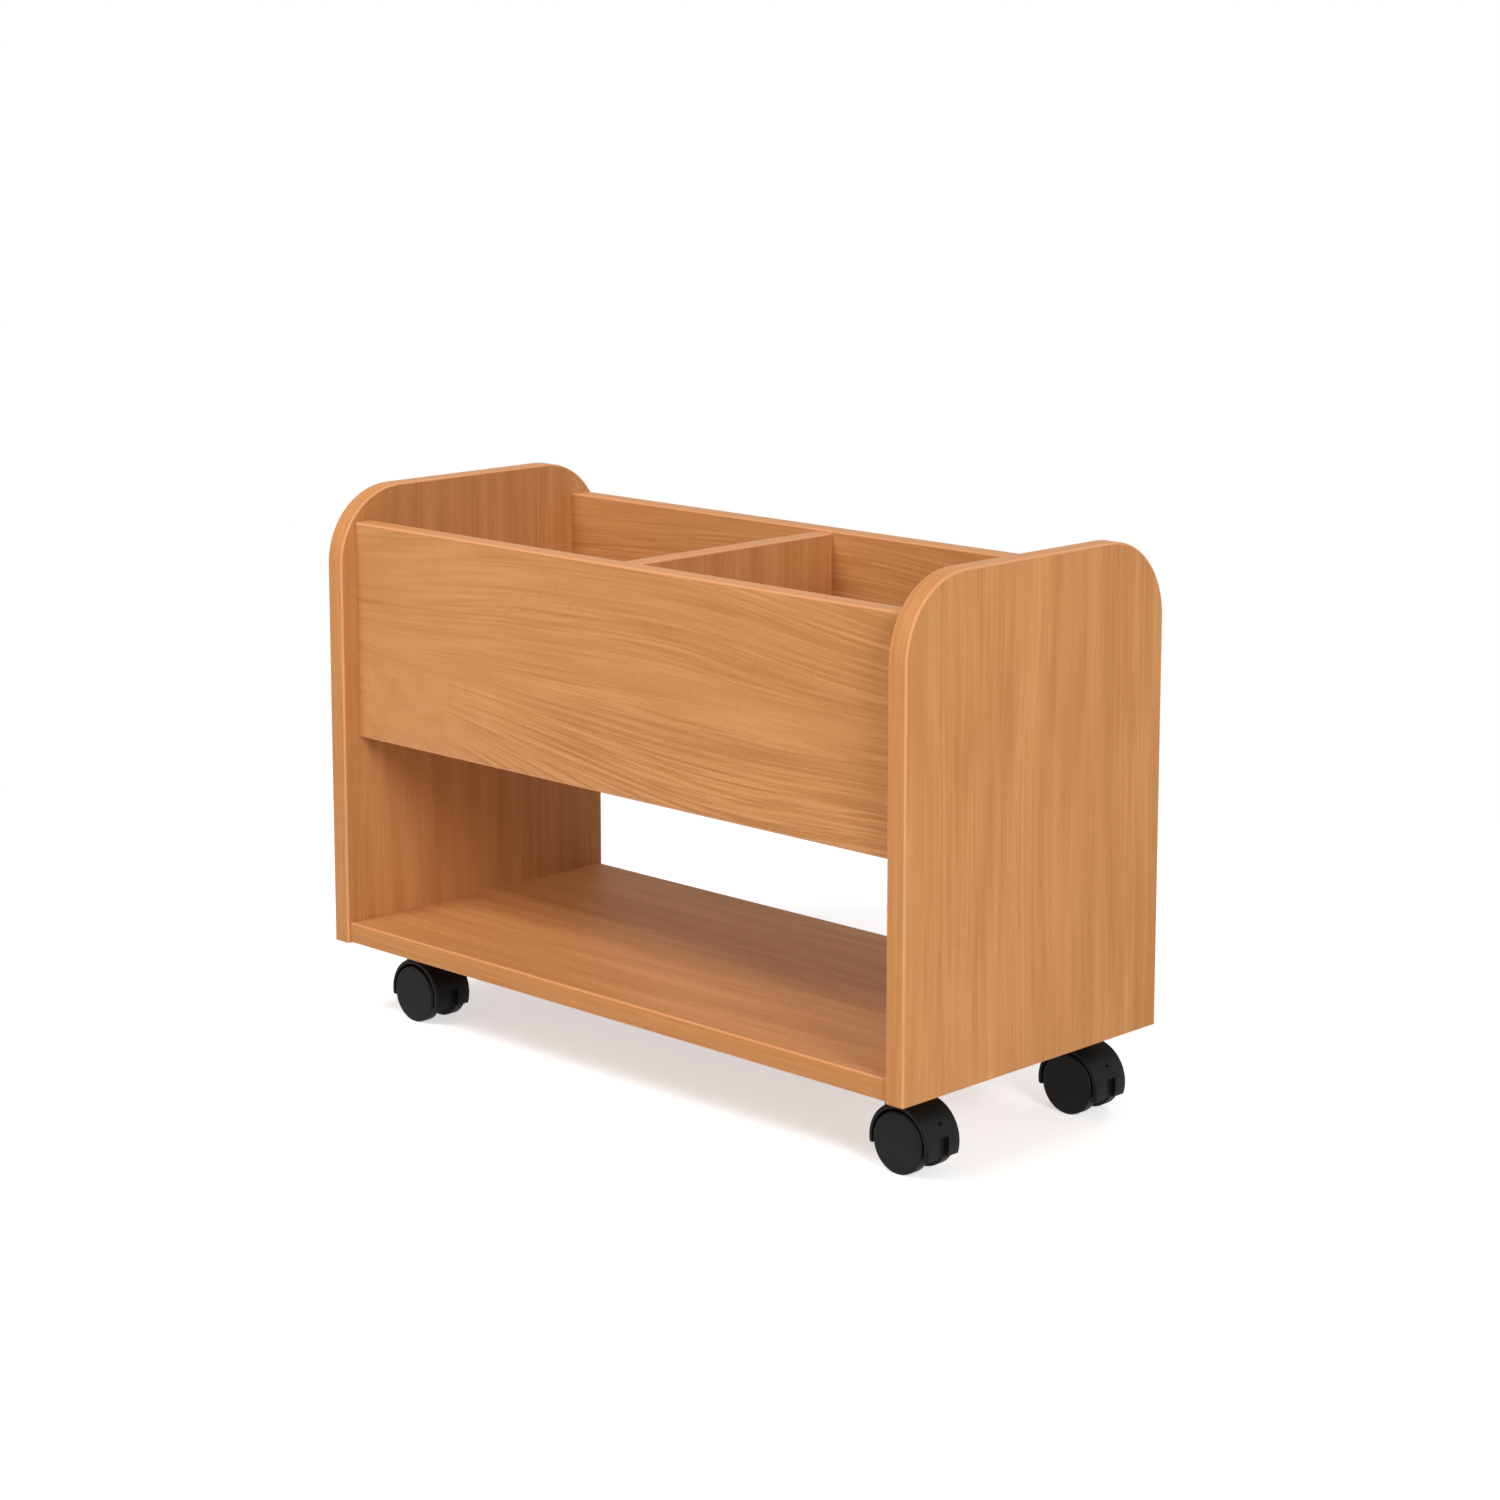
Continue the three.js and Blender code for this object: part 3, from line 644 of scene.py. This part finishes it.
wire_dowels(dowel_recipe)
dowel_nodes = sorted(name for name in nodes if "_dowel_" in name)
boxes = [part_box(name) for name in dowel_nodes]
spots = [(low + high) / 2 for low, high in boxes]
runs = [RIGHT if long_axis(low, high) == X else BACK for low, high in boxes]
dowels = bake("fluted_dowels", path_mesh("dowel_spots", spots, runs), dowel_recipe, Finish=dowel_beech)
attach(dowels, "carcass")
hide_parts(*dowel_nodes)
print(len(spots), "dowels,", len(dowels.data.polygons), "faces")

# %% [markdown]
# Pins, wheels and the blank of the hood are turned pieces: a profile of radius and height that goes once round the
# axis. A corner of the profile can be rounded by naming a radius, because moulded nylon has no sharp corners.

# %% Turned pieces
ARC_STEPS = 5


def soften(corners):
    """Corners are (radius, height) or (radius, height, rounding). Rounded ones become short arcs."""
    points = []
    for i, corner in enumerate(corners):
        if len(corner) == 2:
            points.append(Vector(corner))
            continue
        here, before, after = (Vector(c[:2]) for c in (corner, corners[i - 1], corners[i + 1]))
        rounding = corner[2]
        u, v = (before - here).normalized(), (after - here).normalized()
        half = u.angle(v) / 2
        centre = here + (u + v).normalized() * rounding / sin(half)
        first = here + u * rounding / tan(half) - centre
        last = here + v * rounding / tan(half) - centre
        for step in range(ARC_STEPS + 1):
            spoke = first.lerp(last, step / ARC_STEPS).normalized() * rounding
            points.append(centre + spoke)
    return points


def face_outwards(mesh):
    """Turns a closed mesh inside out if its volume comes out negative."""
    mesh.calc_loop_triangles()
    volume = sum(mesh.vertices[a].co.cross(mesh.vertices[b].co).dot(mesh.vertices[c].co)
                 for a, b, c in (t.vertices for t in mesh.loop_triangles))
    if volume < 0:
        mesh.flip_normals()
    return mesh


def turned(name, profile, sides, direction=UP):
    """A closed mesh with its height along direction. The profile ends on the axis, or where it began."""
    rings, verts, faces = [], [], []
    angles = [2 * pi * i / sides for i in range(sides)]
    for radius, height in profile:
        if rings and (radius, height) == tuple(profile[0]):
            rings.append(rings[0])
        elif radius == 0:
            rings.append([len(verts)] * sides)
            verts.append((0, 0, height))
        else:
            rings.append(range(len(verts), len(verts) + sides))
            verts += [(radius * cos(angle), radius * sin(angle), height) for angle in angles]
    for lower, upper in zip(rings, rings[1:]):
        for i in range(sides):
            j = (i + 1) % sides
            faces.append(tuple(dict.fromkeys((lower[i], lower[j], upper[j], upper[i]))))
    mesh = bpy.data.meshes.new(name)
    mesh.from_pydata(verts, [], faces)
    mesh.transform(Vector(direction).to_track_quat("Z", "Y").to_matrix().to_4x4())
    return face_outwards(mesh)


probe = turned("probe", soften([(0, 0), (1, 0, 0.2), (1, 1), (0, 1)]), 16)
print("a turned test piece has", len(probe.polygons), "faces")
bpy.data.meshes.remove(probe)

# %% [markdown]
# A wheel is a nylon disc. Its outer face is plain, its tread has rounded edges, and its inner side is hollowed between
# the hub and the rim so that the moulding cools evenly. The axle sits in a blind hole. All sizes are in millimetres
# here, and become metres when the piece is put in place. The wheel is as high above the floor as its own radius.

# %% Wheels
MM = 0.001
low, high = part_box("front_left_castor_front_wheel")
WHEEL_RADIUS = (low.z + high.z) / 2 / MM
WHEEL_WIDTH = (high.y - low.y) / MM
WHEEL_SIDES, TREAD_ROUNDING, FACE_RING = 72, 1.8, 22.0
AXLE_HOLE, HOLE_DEPTH, HOLE_CHAMFER = 3.3, 9.0, 0.4
HUB, RIM, HOLLOW_DEPTH, HOLLOW_SLOPE, HOLLOW_LIP, HOLLOW_FILLET = 7.6, 20.0, 2.6, 0.8, 0.4, 0.6
wheel_profile = soften([
    (0, HOLE_DEPTH), (AXLE_HOLE, HOLE_DEPTH), (AXLE_HOLE, HOLE_CHAMFER), (AXLE_HOLE + HOLE_CHAMFER, 0),
    (HUB, 0, HOLLOW_LIP), (HUB + HOLLOW_SLOPE, HOLLOW_DEPTH, HOLLOW_FILLET),
    (RIM - HOLLOW_SLOPE, HOLLOW_DEPTH, HOLLOW_FILLET), (RIM, 0, HOLLOW_LIP),
    (WHEEL_RADIUS, 0, TREAD_ROUNDING), (WHEEL_RADIUS, WHEEL_WIDTH, TREAD_ROUNDING),
    (FACE_RING, WHEEL_WIDTH), (0, WHEEL_WIDTH),
])
CASTORS = [f"{depth}_{side}_castor" for depth in ("front", "back") for side in ("left", "right")]


def finish_piece(name, mesh, body, node, material):
    mesh.materials.clear()
    mesh.materials.append(material)
    piece = add_object(name, soft_shade(mesh))
    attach(piece, body)
    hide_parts(node)
    return piece


for castor in CASTORS:
    for side, direction in (("front", FRONT), ("back", BACK)):
        node = f"{castor}_{side}_wheel"
        low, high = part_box(node)
        mesh = turned(node + "_smooth", wheel_profile, WHEEL_SIDES, direction)
        inner = high.y if side == "front" else low.y
        place = Matrix.Translation(((low.x + high.x) / 2, inner, (low.z + high.z) / 2))
        mesh.transform(place @ Matrix.Scale(MM, 4))
        wheel = finish_piece(node + "_smooth", mesh, node, node, nylon)
print("wheels of", round(2 * WHEEL_RADIUS, 2), "mm,", len(wheel.data.polygons), "faces each")

# %% [markdown]
# The hood is the body of the castor. It starts as a turned disc with rounded rims, and is then carved: the part below
# the axle goes, then the two round spaces for the wheels, so that a web is left between them. A boss on top takes
# the stem. At the back there is a recess in the web, and above it a small slot from the mould. Booleans suit a moulded
# shape like this better than a lattice of faces does, because the cuts are the shape. First come the two tools.

# %% Carving tools
def prism(name, outline, y_from, y_to):
    """A flat outline in x and z, made solid between two places along y."""
    count = len(outline)
    verts = [(x, y, z) for y in (y_from, y_to) for x, z in outline]
    faces = [tuple(range(count)), tuple(range(2 * count - 1, count - 1, -1))]
    faces += [(i, i + count, (i + 1) % count + count, (i + 1) % count) for i in range(count)]
    mesh = bpy.data.meshes.new(name)
    mesh.from_pydata(verts, [], faces)
    return face_outwards(mesh)


def carve(mesh, operation, *tools):
    """Adds the tools to a mesh, or takes them away from it."""
    for tool in tools:
        base, cutter = add_object("carving", mesh), add_object("tool", tool)
        modifier = base.modifiers.new("carve", "BOOLEAN")
        modifier.operation, modifier.solver, modifier.object = operation, "EXACT", cutter
        mesh = evaluated_mesh(base)
        bpy.data.objects.remove(base)
        bpy.data.objects.remove(cutter)
    return mesh


print("tools for carving are ready")

# %% [markdown]
# The hood's sizes count from the axle, with the boss to the left of it and the recess and the slot to the right. Every
# cutter reaches well past the hood, so that no thin skin is left.

# %% Hood
HOOD_RADIUS, HOOD_HALF, HOOD_ROUNDING, HOOD_SIDES = 30.5, 19.0, 2.2, 112
WELL_RADIUS, WEB_HALF = 26.8, 7.5
FRONT_DROP, FRONT_LIP, REAR_DROP, REAR_LIP = 4.5, 0.3, 9.5, 1.5
FOOT_HALF, FOOT_DROP = 9, 10
TRAIL, BOSS_TOP, BOSS_ROUNDING, BOSS_SIDES = 17.5, 37.2, 0.6, 48
BOSS_STEPS = [(10.2, 5), (9.6, 30)]  # radius and height, from the root upwards
BOSS_TIP = 9.0
STEM_HOLE, STEM_DEPTH, HOLE_SIDES = 4.8, 23, 32
RECESS_FLOOR, RECESS_TOP, RECESS_SLOPE, RECESS_HALF, RECESS_FOOT = 26.0, 7, 2.5, 5.5, -20
SLOT_FLOOR, SLOT_LOW, SLOT_HIGH, SLOT_HALF = 24.1, 15.5, 18.5, 2
PAST = 40  # beyond the hood on any side
WELL_END, BORE_TOP, AXLE_END = 30, 50, 30


def hood_mesh():
    disc = soften([(0, -HOOD_HALF), (HOOD_RADIUS, -HOOD_HALF, HOOD_ROUNDING),
                   (HOOD_RADIUS, HOOD_HALF, HOOD_ROUNDING), (0, HOOD_HALF)])
    blank = turned("hood", disc, HOOD_SIDES, BACK)
    below = [(-PAST, -FRONT_DROP), (-HOOD_RADIUS + FRONT_LIP, -FRONT_DROP),
             (-FOOT_HALF, -FOOT_DROP), (FOOT_HALF, -FOOT_DROP),
             (HOOD_RADIUS - REAR_LIP, -REAR_DROP), (PAST, -REAR_DROP), (PAST, -PAST), (-PAST, -PAST)]
    root = BOSS_STEPS[0][1]
    boss = soften([(0, root), *BOSS_STEPS, (BOSS_TIP, BOSS_TOP, BOSS_ROUNDING), (0, BOSS_TOP)])
    boss = turned("boss", boss, BOSS_SIDES)
    well = [(0, WEB_HALF), (WELL_RADIUS, WEB_HALF), (WELL_RADIUS, WELL_END), (0, WELL_END)]
    wells = [turned("well", well, HOOD_SIDES, direction) for direction in (FRONT, BACK)]
    bottom = BOSS_TOP - STEM_DEPTH
    stem_bore = [(0, bottom), (STEM_HOLE, bottom), (STEM_HOLE, BORE_TOP), (0, BORE_TOP)]
    stem_bore = turned("bore", stem_bore, HOLE_SIDES)
    for piece in (boss, stem_bore):
        piece.transform(Matrix.Translation((-TRAIL, 0, 0)))
    axle_bore = [(0, -AXLE_END), (AXLE_HOLE, -AXLE_END), (AXLE_HOLE, AXLE_END), (0, AXLE_END)]
    axle_bore = turned("bore", axle_bore, HOLE_SIDES, BACK)
    recess = [(RECESS_FLOOR, RECESS_FOOT), (PAST, RECESS_FOOT), (PAST, RECESS_TOP),
              (RECESS_FLOOR + RECESS_SLOPE, RECESS_TOP), (RECESS_FLOOR, RECESS_TOP - RECESS_SLOPE)]
    recess = prism("recess", recess, -RECESS_HALF, RECESS_HALF)
    slot = [(SLOT_FLOOR, SLOT_LOW), (PAST, SLOT_LOW), (PAST, SLOT_HIGH), (SLOT_FLOOR, SLOT_HIGH)]
    slot = prism("slot", slot, -SLOT_HALF, SLOT_HALF)
    mesh = carve(blank, "DIFFERENCE", prism("below", below, -PAST, PAST))
    mesh = carve(mesh, "UNION", boss)
    return carve(mesh, "DIFFERENCE", *wells, stem_bore, axle_bore, recess, slot)


hood_start = hood_mesh()
for castor in CASTORS:
    node = castor + "_hood"
    low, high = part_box(node)
    mesh = hood_start.copy()
    wheel_low, wheel_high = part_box(castor + "_front_wheel")
    wheel_middle = (wheel_low + wheel_high) / 2
    axle = Vector((wheel_middle.x, (low.y + high.y) / 2, wheel_middle.z))
    mesh.transform(Matrix.Translation(axle) @ Matrix.Scale(MM, 4))
    hood = finish_piece(node + "_smooth", mesh, castor, node, nylon)
    print(hood.name, len(hood.data.polygons), "faces")

# %% [markdown]
# The stem is a steel pin. Its lower end turns in the hood, a collar carries the load, and its thread goes up into a
# flanged insert in the shelf. Only the collar and the flange show, in the gap above the hood. The thread is a row of
# ridges: a true helix would look the same in there. Heights count from the floor.

# %% Stems, inserts and axles
COLLAR_LOW, FLANGE_LOW, SHELF_UNDER, GAP = 62.486, 65.486, 66.986, 0.1
STEM_FOOT, STEM_RADIUS, COLLAR_RADIUS, STEM_TIP = 39.3, 4.5, 8.0, 76.4
STEM_THREAD = {"top": 76.0, "root": 3.6, "crest": 4.0, "pitch": 1.25}
STEM_NECK = 4.0
INSERT_HOLE, FLANGE_RADIUS, INSERT_NECK, INSERT_LIP, INSERT_TIP = 4.3, 9.0, 5.4, 5.2, 78.9
INSERT_THREAD = {"top": 78.0, "root": 5.3, "crest": 6.0, "pitch": 2.0}
AXLE_RADIUS, PIN_SIDES, AXLE_SIDES = 3, 40, 32
FOOT_ROUNDING, COLLAR_ROUNDING, FLANGE_ROUNDING, AXLE_ROUNDING = 0.6, 0.5, 0.4, 0.5


def ridges(bottom, top, root, crest, pitch):
    count = int((top - bottom) / pitch)
    rows = [((crest, bottom + (i + 0.5) * pitch), (root, bottom + (i + 1) * pitch)) for i in range(count)]
    return [Vector(point) for row in rows for point in row]


collar_top = FLANGE_LOW - GAP
stem_profile = soften([
    (0, STEM_FOOT), (STEM_RADIUS, STEM_FOOT, FOOT_ROUNDING), (STEM_RADIUS, COLLAR_LOW),
    (COLLAR_RADIUS, COLLAR_LOW, COLLAR_ROUNDING), (COLLAR_RADIUS, collar_top, COLLAR_ROUNDING),
    (STEM_NECK, collar_top),
]) + ridges(collar_top, **STEM_THREAD) + [Vector((0, STEM_TIP))]
flange_top = SHELF_UNDER - GAP
insert_profile = soften([
    (INSERT_HOLE, FLANGE_LOW), (FLANGE_RADIUS, FLANGE_LOW, FLANGE_ROUNDING),
    (FLANGE_RADIUS, flange_top), (INSERT_NECK, flange_top),
]) + ridges(SHELF_UNDER, **INSERT_THREAD) + [Vector((INSERT_LIP, INSERT_TIP)), Vector((INSERT_HOLE, INSERT_TIP))]
insert_profile.append(insert_profile[0])
for castor in CASTORS:
    low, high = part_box(castor + "_stem")
    place = Matrix.Translation(((low.x + high.x) / 2, (low.y + high.y) / 2, 0)) @ Matrix.Scale(MM, 4)
    for kind, profile in (("stem", stem_profile), ("insert", insert_profile)):
        node = f"{castor}_{kind}"
        mesh = turned(node + "_turned", profile, PIN_SIDES)
        mesh.transform(place)
        finish_piece(node + "_turned", mesh, "carcass", node, steel)
    node = castor + "_axle"
    low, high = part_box(node)
    reach = (high.y - low.y) / 2 / MM
    pin = soften([(0, -reach), (AXLE_RADIUS, -reach, AXLE_ROUNDING),
                  (AXLE_RADIUS, reach, AXLE_ROUNDING), (0, reach)])
    mesh = turned(node, pin, AXLE_SIDES, BACK)
    mesh.transform(Matrix.Translation((low + high) / 2) @ Matrix.Scale(MM, 4))
    finish_piece(node + "_turned", mesh, castor, node, steel)
print("turned stems, inserts and axles for", len(CASTORS), "castors")

# %% [markdown]
# The studio is a white sweep. The floor takes the shadow of the castors. Far from the object it turns into plain
# white, and so does the world behind it, but only for rays that the camera or a reflection sends out: the light
# that falls on the object stays at a plain level.

# %% Floor and world
FLOOR_WHITE, FLOOR_TOOTH, FLOOR_WAVES, FLOOR_LIFT = 0.8, 0.01, 300, 0.58
FADE = (0.55, 1.3)  # metres from the middle
REACH = 30


def grey(level):
    return (level, level, level, 1)


def seen_directly(node_of):
    rays = ("Is Camera Ray", "Is Glossy Ray", "Is Transmission Ray")
    camera_ray, glossy_ray, clear_ray = (node_of("LightPath", out=name) for name in rays)
    return camera_ray.math("MAXIMUM", glossy_ray).math("MAXIMUM", clear_ray)


def floor_finish():
    finish = Finish("white_sweep", roughness=0.9, specular_ior_level=0.0)
    x, y, z = finish.axes()
    tooth = finish.noise(x * FLOOR_WAVES, y * FLOOR_WAVES, z, detail=1)
    dark, light = grey(FLOOR_WHITE - FLOOR_TOOTH), grey(FLOOR_WHITE + FLOOR_TOOTH)
    finish.wear(base_color=finish.blend(tooth, dark, light))
    seen = seen_directly(finish.node)
    far = (x * x + y * y).math("SQRT").within(*FADE)
    white, lift = (finish.node("Emission", sockets={"Color": grey(1), "Strength": level})
                   for level in (1.0, FLOOR_LIFT))
    plain = Field(finish.shader.outputs[0])
    lifted = finish.node("AddShader", sockets={"Shader": plain, "Shader_001": lift})
    near = finish.node("MixShader", sockets={"Fac": seen, "Shader": plain, "Shader_001": lifted})
    mixed = finish.node("MixShader", sockets={"Fac": far * seen, "Shader": near, "Shader_001": white})
    feed(finish.tree.nodes["Material Output"].inputs["Surface"], mixed)
    return finish.material


floor_mesh = bpy.data.meshes.new("floor")
corners = [(-REACH, -REACH, 0), (REACH, -REACH, 0), (REACH, REACH, 0), (-REACH, REACH, 0)]
floor_mesh.from_pydata(corners, [], [(0, 1, 2, 3)])
floor_mesh.materials.append(floor_finish())
add_object("floor", floor_mesh)

WORLD_LIGHT = 0.28
world = bpy.data.worlds.new("studio")
bpy.context.scene.world = world
world.use_nodes = True
tree = world.node_tree


def world_node(kind, out=0):
    return Field(socket_named(tree.nodes.new("ShaderNode" + kind).outputs, out))


background = tree.nodes["Background"]
background.inputs["Color"].default_value = grey(1)
feed(background.inputs["Strength"], seen_directly(world_node).between(WORLD_LIGHT, 1))
print("floor and world are white")

# %% [markdown]
# Four soft lamps stand in for the studio. One is high in front, and a small one close to the left makes the front a
# little brighter there. One is low at the right: it lights the end panel, and throws that panel's shadow into the
# bay. The last one, behind, keeps the inside of the bin open. Their levels were fitted so that colours come out as
# they are written.

# %% Lamps
BAY = (0, 0, 0.25)


def soft_lamp(name, place, size, watts):
    data = bpy.data.lights.new(name, "AREA")
    data.shape, data.size, data.energy = "DISK", size, watts
    lamp = bpy.data.objects.new(name, data)
    lamp.location = place
    lamp.rotation_euler = (Vector(place) - Vector(BAY)).to_track_quat("Z", "Y").to_euler()
    collection.objects.link(lamp)


soft_lamp("front_lamp", (-0.335, -1.899, 2.548), size=1.0, watts=31)
soft_lamp("near_lamp", (-0.514, -0.891, 1.476), size=0.53, watts=6)
soft_lamp("right_lamp", (2.649, -0.964, 1.276), size=1.0, watts=41.6)
soft_lamp("back_lamp", (0, 2.298, 2.178), size=1.0, watts=15.3)
